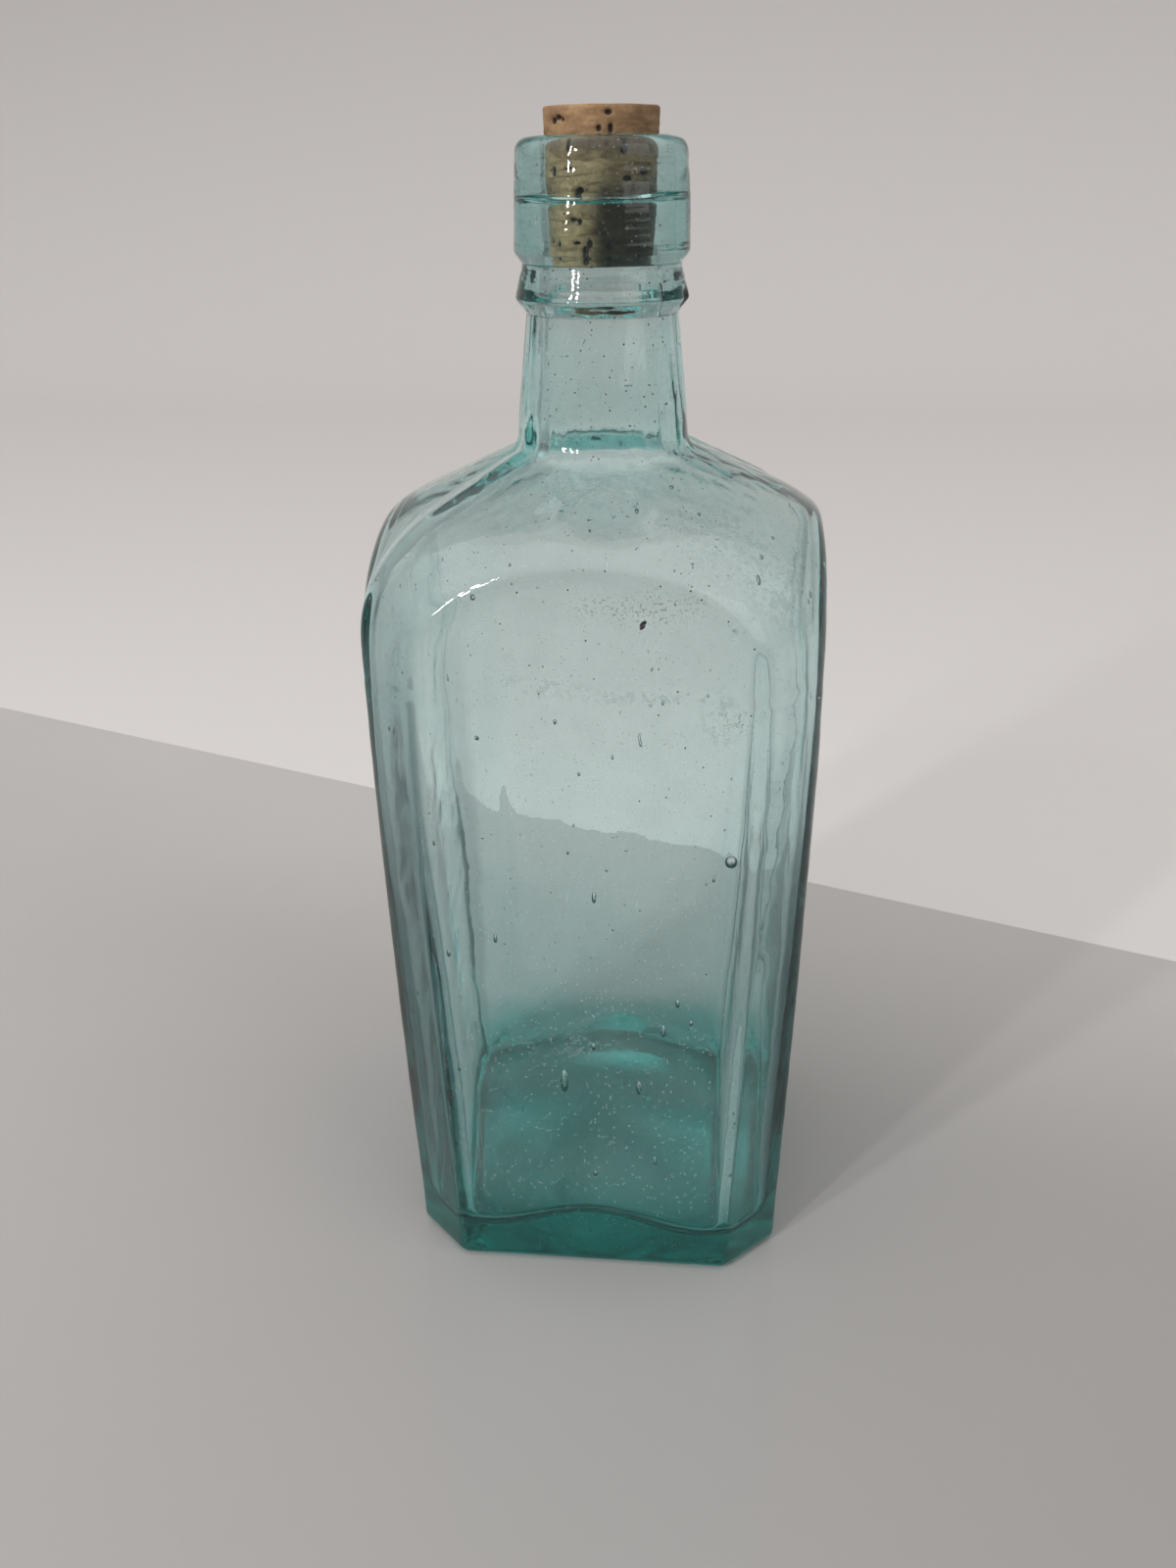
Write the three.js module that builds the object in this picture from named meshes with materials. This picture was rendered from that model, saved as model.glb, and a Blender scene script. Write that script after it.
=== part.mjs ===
// Square mould-blown gin bottle with cut corners, a tooled two-ring lip and a cork stopper.
// Millimetres, +Z up. The origin is the middle of the foot, on the surface that the bottle stands on.

import * as THREE from 'three';

// Body: a square with cut corners that swells from the foot to its widest
const FOOT_WIDTH = 78.2;
const BODY_WIDTH = 85.1;
const WIDEST_HEIGHT = 118;
const SWELL_POWER = 1.27;
const CORNER_CUT = 10.6;
const EDGE_ROUNDING_LOW = 3;
const EDGE_ROUNDING_HIGH = 7;
const HEEL_RADIUS = 2;

// Heights between which the edges go from low to high rounding and the walls from low to high thickness
const CHANGE_FOOT = 30;
const CHANGE_TOP = 110;

// Shoulder: a round dome, a little wider than the corners, that cuts the square off in an arch on every face
const SHOULDER_HEIGHT = 131.6;
const SHOULDER_MARGIN = 1.5;
const SHOULDER_RADIUS = 31.3;
const SHOULDER_SLOPE = THREE.MathUtils.degToRad(25);
const NECK_FILLET = 3.2;

// Neck: a cone from the shoulder to the lip, which goes on to its end inside the lip
const NECK_ROOT_RADIUS = 16.4;
const NECK_LENGTH = 21.5;
const NECK_TOP_RADIUS = 14;
const NECK_END_TAPER = 0.8;
const NECK_END_WALL = 3.1;

// Hollow: walls that thin out upward, soft corners, and a crowned floor that dips in the corners
const WALL_LOW = 4.8;
const WALL_HIGH = 2.9;
const NECK_WALL = 4.4;
const CORNER_WALL_SHARE = 1.15;
const INNER_EDGE_ROUNDING_LOW = 14;
const INNER_EDGE_ROUNDING_HIGH = 9;
const INNER_HEEL_RADIUS = 5.5;
const FLOOR_HEIGHT = 11.5;
const FLOOR_CROWN = 3;
const POCKET_DEPTH = 6;
const POCKET_FADE_HEIGHT = 24;

// Push-up under the foot
const PUSH_UP_RADIUS = 26;
const PUSH_UP_HEIGHT = 3;

// Lip: a tall band, a groove and a flared ring, each standing proud of the top of the neck
const LIP_BAND_HEIGHT = 19;
const LIP_GROOVE_DROP = 2.5;
const LIP_RING_HEIGHT = 5;
const LIP_BEVEL_HEIGHT = 2.8;
const LIP_TOP_PROUD = 1.4;
const LIP_BAND_PROUD = 2.2;
const LIP_GROOVE_PROUD = 0.7;
const LIP_RING_PROUD = 2.2;
const LIP_TOP_ROUNDING = 3;
const LIP_EDGE_ROUNDING = 1.3;
const LIP_MOUTH_ROUNDING = 0.8;
const LIP_ABOVE_NECK_END = 10.3;
const LIP_CLEARANCE = 0.15;

// Bore and cork: one taper, with the cork a clearance smaller all round
const BORE_TAPER = 0.03;
const CORK_CLEARANCE = 0.2;
const CORK_LENGTH = 25;
const CORK_PROUD = 4.7;
const CORK_EDGE_RADIUS = 0.7;

// Facets: steps round the section, and steps along each curve of a profile
const FACE_STEPS = 5;
const EDGE_STEP = THREE.MathUtils.degToRad(3);
const ROUND_STEPS = 48;
const PUSH_UP_STEPS = [4];
const HEEL_STEPS = [3];
const SIDE_STEPS = 8;
const SHOULDER_STEPS = [12, 2, 3, 2, 2];
const FLOOR_STEPS = [4, 4];
const INNER_SIDE_STEPS = 7;
const INNER_SHOULDER_STEPS = [9, 2, 4, 2, 1];
const LIP_STEPS = [1, 1, 3, 1, 1, 3, 1, 4, 1, 3, 1, 1];
const CORK_STEPS = [1, 2, 1, 3, 1];
const RIGHT_ANGLE = Math.PI / 2;

// Places that follow from the sizes above
const CORNER_REACH = (BODY_WIDTH - CORNER_CUT) * Math.SQRT1_2;
const DOME_CENTRE = CORNER_REACH + SHOULDER_MARGIN - SHOULDER_RADIUS;
const SLOPE_FOOT_RADIUS = DOME_CENTRE + SHOULDER_RADIUS * Math.sin(SHOULDER_SLOPE);
const SLOPE_TOP_RADIUS = NECK_ROOT_RADIUS + NECK_FILLET * (1 - Math.sin(SHOULDER_SLOPE));
const SLOPE_RISE = (SLOPE_FOOT_RADIUS - SLOPE_TOP_RADIUS) * Math.tan(SHOULDER_SLOPE);
const TURNS_RISE = (SHOULDER_RADIUS + NECK_FILLET) * Math.cos(SHOULDER_SLOPE);
const NECK_ROOT = SHOULDER_HEIGHT + TURNS_RISE + SLOPE_RISE;
const LIP_FOOT = NECK_ROOT + NECK_LENGTH;
const LIP_TOP = LIP_FOOT + LIP_BEVEL_HEIGHT + LIP_RING_HEIGHT + LIP_GROOVE_DROP + LIP_BAND_HEIGHT;
const NECK_END = LIP_TOP - LIP_ABOVE_NECK_END;
const NECK_END_RADIUS = NECK_TOP_RADIUS - NECK_END_TAPER;
const CORK_TOP = LIP_TOP + CORK_PROUD;
const CORK_FOOT = CORK_TOP - CORK_LENGTH;
const WALL_FOOT = FLOOR_HEIGHT + INNER_HEEL_RADIUS;
const FLOOR_RADIUS = sideHalfWidth(WALL_FOOT) - wallAt(WALL_FOOT) - INNER_HEEL_RADIUS;

const GLASS = new THREE.MeshStandardMaterial({
  color: 0x9fc8c6, roughness: 0.06, metalness: 0, transparent: true, opacity: 0.45,
});
const LIP_GLASS = new THREE.MeshStandardMaterial({
  color: 0x94c0bf, roughness: 0.08, metalness: 0, transparent: true, opacity: 0.5,
});
const CORK = new THREE.MeshStandardMaterial({ color: 0xa9835a, roughness: 0.9, metalness: 0 });

// Points of a path, with each of its curves cut into its own number of steps
function pathPoints(path, steps) {
  const points = [path.curves[0].getPoint(0)];
  path.curves.forEach((curve, index) => points.push(...curve.getPoints(steps[index]).slice(1)));
  return points;
}

// Directions round the axis, closer together where the faces meet the cut corners
function sectionAngles() {
  const edge = Math.atan(1 - CORNER_CUT / (BODY_WIDTH / 2));
  const eighth = [];
  for (let step = 0; step < FACE_STEPS; step += 1) {
    eighth.push((edge - EDGE_STEP) * step / FACE_STEPS);
  }
  eighth.push(edge - EDGE_STEP, edge, edge + EDGE_STEP);
  const mirrored = eighth.slice(1).reverse().map((angle) => RIGHT_ANGLE - angle);
  const quarter = [...eighth, RIGHT_ANGLE / 2, ...mirrored];
  return [0, 1, 2, 3].flatMap((turn) => quarter.map((angle) => angle + turn * RIGHT_ANGLE));
}

// How sharply the walls of a section meet, so that a cut corner's edges have the asked rounding
function edgeSharpness(rounding) {
  const reach = Math.hypot(BODY_WIDTH / 2, BODY_WIDTH / 2 - CORNER_CUT);
  const loss = rounding * (1 / Math.cos(Math.PI / 8) - 1);
  return Math.LN2 * reach / loss;
}

// Distance from the axis to the nearest of the square's faces, its cut corners and a round wall
function sectionRadius(angle, { half, cornerCut, round, sharpness }) {
  const across = Math.abs(Math.cos(angle));
  const along = Math.abs(Math.sin(angle));
  const walls = [across / half, along / half, (across + along) / (2 * half - cornerCut), 1 / round];
  const nearest = Math.max(...walls);
  const sum = walls.reduce((total, wall) => total + (wall / nearest) ** sharpness, 0);
  return 1 / (nearest * sum ** (1 / sharpness));
}

// One ring of the loft, level but for a dip of its corners
function ring(angles, section, height, cornerDip = 0) {
  return angles.map((angle) => {
    const radius = sectionRadius(angle, section);
    const dip = cornerDip * Math.sin(2 * angle) ** 2;
    return new THREE.Vector3(radius * Math.cos(angle), radius * Math.sin(angle), height - dip);
  });
}

// A closed skin over rings of equal counts, from one point on the axis to another
function loft(firstPole, rings, lastPole) {
  const count = rings[0].length;
  const vertices = [firstPole, ...rings.flat(), lastPole];
  const last = vertices.length - 1;
  const top = last - count;
  const index = [];
  for (let side = 0; side < count; side += 1) {
    const next = (side + 1) % count;
    index.push(0, 1 + next, 1 + side);
    for (let low = 1; low < top; low += count) {
      const high = low + count;
      index.push(low + side, low + next, high + next);
      index.push(low + side, high + next, high + side);
    }
    index.push(top + side, top + next, last);
  }
  const geometry = new THREE.BufferGeometry().setFromPoints(vertices);
  geometry.setIndex(index);
  geometry.computeVertexNormals();
  return geometry;
}

// Half the width of the square at a height, before the shoulder cuts it off
function sideHalfWidth(height) {
  const below = Math.max(0, 1 - height / WIDEST_HEIGHT);
  return (BODY_WIDTH - (BODY_WIDTH - FOOT_WIDTH) * below ** SWELL_POWER) / 2;
}

// A size that goes from a low value near the foot to a high value near the shoulder
function sizeAt(height, low, high) {
  return THREE.MathUtils.lerp(low, high, THREE.MathUtils.smoothstep(height, CHANGE_FOOT, CHANGE_TOP));
}

function wallAt(height) {
  return sizeAt(height, WALL_LOW, WALL_HIGH);
}

// The corner cut of the hollow that leaves the asked wall behind the outer cut corner
function innerCornerCut(height) {
  return CORNER_CUT + (Math.SQRT2 * CORNER_WALL_SHARE - 2) * wallAt(height);
}

function boreRadius(height) {
  return NECK_END_RADIUS - NECK_END_WALL + BORE_TAPER * (height - NECK_END);
}

// Round dome of the shoulder and the turn into the neck, each set in from the outer surface
function shoulderPath(inset, neckInset) {
  const turn = RIGHT_ANGLE - SHOULDER_SLOPE;
  const filletCentre = NECK_ROOT_RADIUS + NECK_FILLET;
  const path = new THREE.Path();
  path.absarc(DOME_CENTRE, SHOULDER_HEIGHT, SHOULDER_RADIUS - inset, 0, turn);
  path.absarc(filletCentre, NECK_ROOT, NECK_FILLET + neckInset, Math.PI + turn, Math.PI, true);
  return path;
}

// Rings up a side at even steps, from just above its foot to just below the shoulder
function sideRings(foot, steps, ringAt) {
  const rings = [];
  for (let step = 1; step < steps; step += 1) {
    rings.push(ringAt(Infinity, THREE.MathUtils.lerp(foot, SHOULDER_HEIGHT, step / steps)));
  }
  return rings;
}

// Rings of the outer surface, from the push-up round the heel and up to the end of the neck
function outerRings(angles) {
  const ringOf = (half, round, height) => {
    const sharpness = edgeSharpness(sizeAt(height, EDGE_ROUNDING_LOW, EDGE_ROUNDING_HIGH));
    return ring(angles, { half, cornerCut: CORNER_CUT, round, sharpness }, height);
  };
  const ringAt = (round, height) => ringOf(sideHalfWidth(height), round, height);

  const domeRadius = (PUSH_UP_RADIUS ** 2 + PUSH_UP_HEIGHT ** 2) / (2 * PUSH_UP_HEIGHT);
  const domeEdge = Math.acos(PUSH_UP_RADIUS / domeRadius);
  const pushUp = new THREE.Path();
  pushUp.absarc(0, PUSH_UP_HEIGHT - domeRadius, domeRadius, RIGHT_ANGLE, domeEdge, true);
  const underside = pathPoints(pushUp, PUSH_UP_STEPS).slice(1);

  const heel = new THREE.Path();
  const heelCentre = sideHalfWidth(HEEL_RADIUS) - HEEL_RADIUS;
  heel.absarc(heelCentre, HEEL_RADIUS, HEEL_RADIUS, -RIGHT_ANGLE, 0);

  const shoulder = shoulderPath(0, 0);
  shoulder.lineTo(NECK_TOP_RADIUS, LIP_FOOT);
  shoulder.lineTo(NECK_END_RADIUS, NECK_END);

  return [
    ...underside.map(({ x, y }) => ringAt(x, y)),
    ...pathPoints(heel, HEEL_STEPS).map(({ x, y }) => ringOf(x, Infinity, y)),
    ...sideRings(HEEL_RADIUS, SIDE_STEPS, ringAt),
    ...pathPoints(shoulder, SHOULDER_STEPS).map(({ x, y }) => ringAt(x, y)),
  ];
}

// Rings of the hollow, from the middle of its floor up to the end of the neck
function innerRings(angles) {
  const ringOf = (half, cornerCut, round, height, dip) => {
    const sharpness = edgeSharpness(sizeAt(height, INNER_EDGE_ROUNDING_LOW, INNER_EDGE_ROUNDING_HIGH));
    return ring(angles, { half, cornerCut, round, sharpness }, height, dip);
  };
  const pocketDip = (height) => {
    const fade = THREE.MathUtils.smoothstep(height, FLOOR_HEIGHT, FLOOR_HEIGHT + POCKET_FADE_HEIGHT);
    return POCKET_DEPTH * (1 - fade);
  };
  const ringAt = (round, height) => {
    const half = sideHalfWidth(height) - wallAt(height);
    return ringOf(half, innerCornerCut(height), round, height, pocketDip(height));
  };
  // The floor is round in the middle and takes the shape of the walls at its edge
  const floorRing = ({ x, y }) => {
    const share = Math.min(1, x / FLOOR_RADIUS);
    const round = x * THREE.MathUtils.lerp(1, Math.SQRT2, share ** 2);
    return ringOf(x, innerCornerCut(y) * share, round, y, pocketDip(y) * share ** 2);
  };

  const crown = FLOOR_HEIGHT + FLOOR_CROWN;
  const floor = new THREE.Path();
  floor.moveTo(0, crown);
  floor.quadraticCurveTo(FLOOR_RADIUS / 2, crown, FLOOR_RADIUS, FLOOR_HEIGHT);
  floor.absarc(FLOOR_RADIUS, WALL_FOOT, INNER_HEEL_RADIUS, -RIGHT_ANGLE, 0);

  const shoulder = shoulderPath(WALL_HIGH, NECK_WALL);
  shoulder.lineTo(boreRadius(CORK_FOOT), CORK_FOOT);
  shoulder.lineTo(boreRadius(NECK_END), NECK_END);

  return [
    ...pathPoints(floor, FLOOR_STEPS).slice(1).map(floorRing),
    ...sideRings(WALL_FOOT, INNER_SIDE_STEPS, ringAt),
    ...pathPoints(shoulder, INNER_SHOULDER_STEPS).map(({ x, y }) => ringAt(x, y)),
  ];
}

function makeGlassBody() {
  const angles = sectionAngles();
  const underside = new THREE.Vector3(0, 0, PUSH_UP_HEIGHT);
  const floor = new THREE.Vector3(0, 0, FLOOR_HEIGHT + FLOOR_CROWN);
  const rings = [...outerRings(angles), ...innerRings(angles).reverse()];
  const body = new THREE.Mesh(loft(underside, rings, floor), GLASS);
  body.name = 'glass_body';
  return body;
}

// A profile of radius and height turned about the Z axis
function revolve(profile) {
  return new THREE.LatheGeometry(profile, ROUND_STEPS).rotateX(RIGHT_ANGLE);
}

// The lip, drawn from the end of the neck inside it, down its socket, up its outside and down its bore
function makeLip() {
  const seat = NECK_END + LIP_CLEARANCE;
  const bandFoot = LIP_TOP - LIP_BAND_HEIGHT;
  const ringFoot = LIP_FOOT + LIP_BEVEL_HEIGHT;
  const ringEdge = NECK_TOP_RADIUS + LIP_RING_PROUD - LIP_EDGE_ROUNDING;
  const bandEdge = NECK_TOP_RADIUS + LIP_BAND_PROUD - LIP_EDGE_ROUNDING;
  const topEdge = NECK_TOP_RADIUS + LIP_TOP_PROUD - LIP_TOP_ROUNDING;
  const mouthEdge = boreRadius(LIP_TOP) + LIP_MOUTH_ROUNDING;
  const path = new THREE.Path();
  path.moveTo(NECK_END_RADIUS + LIP_CLEARANCE, seat);
  path.lineTo(NECK_TOP_RADIUS + LIP_CLEARANCE, LIP_FOOT);
  path.absarc(ringEdge, ringFoot, LIP_EDGE_ROUNDING, -RIGHT_ANGLE, 0);
  path.lineTo(NECK_TOP_RADIUS + LIP_GROOVE_PROUD, bandFoot - LIP_GROOVE_DROP);
  path.absarc(bandEdge, bandFoot + LIP_EDGE_ROUNDING, LIP_EDGE_ROUNDING, -RIGHT_ANGLE, 0);
  path.absarc(topEdge, LIP_TOP - LIP_TOP_ROUNDING, LIP_TOP_ROUNDING, 0, RIGHT_ANGLE);
  path.absarc(mouthEdge, LIP_TOP - LIP_MOUTH_ROUNDING, LIP_MOUTH_ROUNDING, RIGHT_ANGLE, Math.PI);
  path.lineTo(boreRadius(seat), seat);
  path.closePath();
  const lip = new THREE.Mesh(revolve(pathPoints(path, LIP_STEPS)), LIP_GLASS);
  lip.name = 'applied_lip';
  return lip;
}

function makeCork() {
  const top = boreRadius(CORK_TOP) - CORK_CLEARANCE - CORK_EDGE_RADIUS;
  const foot = boreRadius(CORK_FOOT) - CORK_CLEARANCE - CORK_EDGE_RADIUS;
  const path = new THREE.Path();
  path.moveTo(0, CORK_FOOT);
  path.lineTo(foot, CORK_FOOT);
  path.absarc(foot, CORK_FOOT + CORK_EDGE_RADIUS, CORK_EDGE_RADIUS, -RIGHT_ANGLE, 0);
  path.absarc(top, CORK_TOP - CORK_EDGE_RADIUS, CORK_EDGE_RADIUS, 0, RIGHT_ANGLE);
  path.lineTo(0, CORK_TOP);
  const cork = new THREE.Mesh(revolve(pathPoints(path, CORK_STEPS)), CORK);
  cork.name = 'cork_stopper';
  return cork;
}

const bottle = new THREE.Group();
bottle.add(makeGlassBody(), makeLip(), makeCork());

export default bottle;
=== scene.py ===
import math

import bpy
import numpy as np
from mathutils import Euler, Matrix, Vector, noise


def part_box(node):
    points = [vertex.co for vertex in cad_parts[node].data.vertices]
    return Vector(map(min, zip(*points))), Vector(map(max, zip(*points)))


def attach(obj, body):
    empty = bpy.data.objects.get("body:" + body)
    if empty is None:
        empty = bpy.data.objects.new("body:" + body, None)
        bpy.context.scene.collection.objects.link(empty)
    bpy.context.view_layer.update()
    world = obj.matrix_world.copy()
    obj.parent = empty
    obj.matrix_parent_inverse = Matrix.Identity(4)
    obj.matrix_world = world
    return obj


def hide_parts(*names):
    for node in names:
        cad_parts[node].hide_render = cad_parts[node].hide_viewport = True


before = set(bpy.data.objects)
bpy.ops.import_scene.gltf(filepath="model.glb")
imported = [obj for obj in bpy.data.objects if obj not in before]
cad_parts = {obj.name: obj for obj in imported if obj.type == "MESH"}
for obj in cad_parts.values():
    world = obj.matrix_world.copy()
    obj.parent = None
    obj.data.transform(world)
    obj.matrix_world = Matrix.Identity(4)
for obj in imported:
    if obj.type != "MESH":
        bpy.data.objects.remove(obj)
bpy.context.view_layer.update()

# Metres, +Z up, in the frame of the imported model. The front face of the bottle looks along -Y.

# Places that the frame gives
LIP_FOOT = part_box("applied_lip")[0].z
LIP_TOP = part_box("applied_lip")[1].z
NECK_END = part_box("glass_body")[1].z
CORK_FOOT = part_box("cork_stopper")[0].z
CORK_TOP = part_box("cork_stopper")[1].z
CORK_TOP_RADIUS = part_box("cork_stopper")[1].x
BODY_WIDTH = 2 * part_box("glass_body")[1].x

# Body: a square with cut corners that swells from the foot to its widest, with edges that soften upwards
FOOT_WIDTH = 0.0782
WIDEST_HEIGHT = 0.118
SWELL_POWER = 1.27
CORNER_CUT = 0.0106
EDGE_ROUNDING_FOOT = 0.003
EDGE_ROUNDING_TOP = 0.007
SOFT_FROM = 0.03
SOFT_TO = 0.11
HEEL_RADIUS = 0.002

# Shoulder: a round dome that cuts the square off in an arch on every face
SHOULDER_HEIGHT = 0.1316
SHOULDER_MARGIN = 0.0015
SHOULDER_RADIUS = 0.0313
SHOULDER_SLOPE = 25
NECK_FILLET = 0.0032
NECK_ROOT_RADIUS = 0.0164
NECK_LENGTH = 0.0215
NECK_TOP_RADIUS = 0.014

# Hollow: the wall, softer corners inside, and a floor that rises in the middle and dips in the corners
WALL_LOW = 0.0048
WALL_HIGH = 0.0029
NECK_WALL = 0.0044
CORNER_WALL_SHARE = 1.15
INNER_EDGE_FOOT = 0.014
INNER_EDGE_TOP = 0.009
INNER_HEEL_RADIUS = 0.0055
FLOOR_HEIGHT = 0.0115
FLOOR_CROWN = 0.003
POCKET_DEPTH = 0.006
POCKET_FADE_HEIGHT = 0.024
FLOOR_TILT = 0.04
TILT_FADE_FROM = 0.012
TILT_FADE_TO = 0.04
PUSH_UP_RADIUS = 0.026
PUSH_UP_HEIGHT = 0.003

# Lip: radii stand proud of the top of the neck, and heights go up from the lip's foot
LIP_PROUD = 0.0022
LIP_TOP_PROUD = 0.0014
LIP_GROOVE_PROUD = 0.0007
LIP_BEVEL_HEIGHT = 0.0024
LIP_GROOVE_HEIGHT = 0.0078
LIP_GROOVE_TOP = 0.0086
LIP_BAND_FOOT = 0.0104
LIP_FOOT_ROUNDING = 0.0004
LIP_BEVEL_ROUNDING = 0.0013
LIP_GROOVE_ROUNDING = 0.0005
LIP_BAND_ROUNDING = 0.0016
LIP_TOP_ROUNDING = 0.003
LIP_MOUTH_ROUNDING = 0.0008

# Bore: one taper, measured at the end of the neck
BORE_RADIUS = 0.0101
BORE_TAPER = 0.03
BORE_WELD_ROUNDING = 0.001
BORE_FOOT_ROUNDING = 0.004

# Cork, with pits of the bark: limits of a pit's width, height and depth
CORK_CLEARANCE = 0.0002
CORK_EDGE_ROUNDING = 0.0007
CORK_MIDDLE_RADIUS = 0.0004
CORK_MIDDLE_SINK = 0.0001
SIDE_PITS = 75
TOP_PITS = 26
SMALLEST_PIT = (0.0003, 0.0003, 0.0004)
LARGEST_PIT = (0.0009, 0.0009, 0.0010)
PIT_MARGIN_FOOT = 0.001
PIT_MARGIN_TOP = 0.0008
PIT_EDGE_POWER = 1.5
TOP_PIT_REACH = 0.0092
TOP_PIT_NARROWNESS = 0.7
TOP_PIT_HEIGHT = 0.001
BARK_DEPTH = 0.00008
BARK_LUMPS = (0.003, 0.003, 0.0008)

# Places that follow from the sizes above
CORNER_REACH = (BODY_WIDTH - CORNER_CUT) * math.sqrt(0.5)
DOME_CENTRE = CORNER_REACH + SHOULDER_MARGIN - SHOULDER_RADIUS
NECK_ROOT = LIP_FOOT - NECK_LENGTH
WALL_FOOT = FLOOR_HEIGHT + INNER_HEEL_RADIUS
EDGE_ANGLE = math.atan(1 - CORNER_CUT / (BODY_WIDTH / 2))

# Skin of the blown glass: depths of its ripples, and the sizes of their lumps along x, y and z
SKIN_DEPTH = 0.00013
SKIN_LUMPS = (0.021, 0.021, 0.0315)
SKIN_FROM = 0.001
SKIN_FULL = 0.012
SKIN_NECK_FADE = 0.01
WHITTLE_DEPTH = 0.00006
WHITTLE_LUMPS = (0.012, 0.012, 0.005)
INNER_DEPTH = 0.00045
INNER_LUMPS = (0.027, 0.027, 0.0351)
INNER_FINE_SHARE = 0.25
INNER_FINE_LUMPS = (0.010, 0.010, 0.013)
INNER_NECK_FADE = 0.012

# Lines that drawing out left along the neck, outside and in the bore
DRAW_DEPTH = 0.00012
DRAW_LUMPS = (0.0026, 0.0026, 0.05)
DRAW_FINE_SHARE = 0.6
DRAW_FINE_LUMPS = (0.0012, 0.0012, 0.03)
DRAW_BELOW_ROOT = 0.008
DRAW_BELOW_LIP = 0.0005
DRAW_FADE = 0.006
BORE_DRAW_DEPTH = 0.00024
BORE_DRAW_LUMPS = (0.003, 0.003, 0.05)
BORE_DRAW_MARGIN = 0.004

# Lip as the tool left it, and the weld between lip and neck in the bore
LIP_DEPTH = 0.00016
LIP_INWARD = 0.6
LIP_LUMPS = (0.009, 0.009, 0.006)
LIP_FINE_SHARE = 0.5
LIP_FINE_LUMPS = (0.012, 0.012, 0.0016)
LIP_FADE = 0.001
LIP_SMOOTH_RADIUS = 0.0115
LIP_ROUGH_RADIUS = 0.013
TOOL_DEPTH = 0.000015
TOOL_PITCH = 0.0013
TOOL_DRIFT = 0.0004
TOOL_LUMPS = (0.02, 0.02, 0.004)
CHIP_ANGLE = math.radians(-12)
CHIP_HEIGHT = LIP_FOOT + 0.0026
CHIP_SIZE = 0.0016
CHIP_DEPTH = 0.0009
WELD_DEPTH = 0.0007
WELD_WIDTH = 0.0005
WELD_DRIFT = 0.0004
WELD_LUMPS = (0.008, 0.008, 1)

# Mould seam, which shows on the shoulder
SEAM_ANGLE = math.radians(217.5)
SEAM_HEIGHT = 0.0009
SEAM_WIDTH = 0.0019
SEAM_LEAST_WIDTH_SHARE = 0.4
SEAM_FROM = 0.118
SEAM_FULL = 0.160
SEAM_FADE = 0.006

# Painted shade along the edges of the side faces, a dark band: reach about an edge, and shares of the weaker
# sides on the right and at the back
RIM_REACH = math.radians(5)
RIM_FADE = math.radians(3)
RIM_RIGHT_SHARE = 0.85
RIM_BACK_SHARE = 0.45

# Radius outside which the underside counts as the heel
HEEL_REACH = 0.028

# Mesh steps
QUARTER_STEPS = 72
FINE_ANGLES = 2001
EDGE_DENSITY = 2.5
EDGE_SPREAD = math.radians(3)
PUSH_UP_STEPS = 24
HEEL_STEPS = 8
SIDE_ROWS = 112
DOME_STEPS = 34
SLOPE_STEPS = 14
FILLET_STEPS = 9
INNER_SIDE_ROWS = 96
INNER_HEEL_STEPS = 14
FLOOR_STEPS = 24
LIP_STEP = 0.0003
LEVEL_TOLERANCE = 1e-9
CORK_STEP = 0.0002
CORK_STEPS = 240
BUBBLE_ROUND = 12
BUBBLE_RINGS = 7

# Gas seeds in the front wall: x, height, width and length
FRONT_SEEDS = (
    (-0.0054, 0.0482, 0.0019, 0.0056), (0.0098, 0.0474, 0.0013, 0.0032), (0.0266, 0.1006, 0.0024, 0.0026),
    (0.0007, 0.0572, 0.0011, 0.0017), (0.0007, 0.0242, 0.0012, 0.0014), (0.0073, 0.0313, 0.0009, 0.0012),
    (0.0131, 0.0283, 0.0010, 0.0023), (-0.0180, 0.0820, 0.0008, 0.0021), (0.0200, 0.0640, 0.0009, 0.0012),
)
FRONT_SEED_THICKEST = 0.0016

# Gas seeds strewn through the walls and the base
WALL_SEEDS = 220
WALL_SEED_FROM = 0.02
WALL_SEED_BELOW_NECK = 0.006
WALL_SEED_WIDTH = 0.0003
WALL_SEED_GROWTH = 0.0007
WALL_SEED_STRETCH = 2.2
WALL_SEED_THICKEST = 0.0008
WALL_SEED_DEPTHS = (0.4, 0.6)
BASE_SEEDS = 16
BASE_SEED_REACH = 0.030
BASE_SEED_WIDTHS = (0.0006, 0.0014)
BASE_SEED_HEIGHTS = (0.0050, 0.0085)
BASE_SEED_FLATNESS = 0.7

# Pale deposits and rusty stains inside the glass: x, y, height, and how far they spread sideways and up
DEPOSITS = (
    (0.024, -0.030, 0.158, 0.011, 0.007),
    (0.031, -0.030, 0.147, 0.007, 0.007),
    (-0.009, -0.040, 0.134, 0.008, 0.0014),
    (0.010, -0.040, 0.132, 0.010, 0.0012),
    (0.024, -0.040, 0.128, 0.003, 0.005),
    (-0.004, -0.039, 0.056, 0.010, 0.004),
    (-0.004, -0.026, 0.163, 0.012, 0.003),
)
STAINS = (
    (0.0095, -0.040, 0.1484, 0.010, 0.0026),
    (0.0276, -0.040, 0.1278, 0.003, 0.002),
    (-0.008, -0.014, 0.1715, 0.005, 0.004),
    (0.024, -0.040, 0.052, 0.003, 0.003),
)

# One dark stone in the front wall: its place, half its size and how far it leans to the right
STONE_PLACE = (0.0101, -0.0405, 0.1456)
STONE_SIZE = (0.0004, 0.0030, 0.0008)
STONE_LEAN = math.radians(48)

# Randomness: one seed for all draws, and how far apart the noise of two ripples is taken
SEED = 7
RIPPLE_GAP = 17.3
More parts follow.
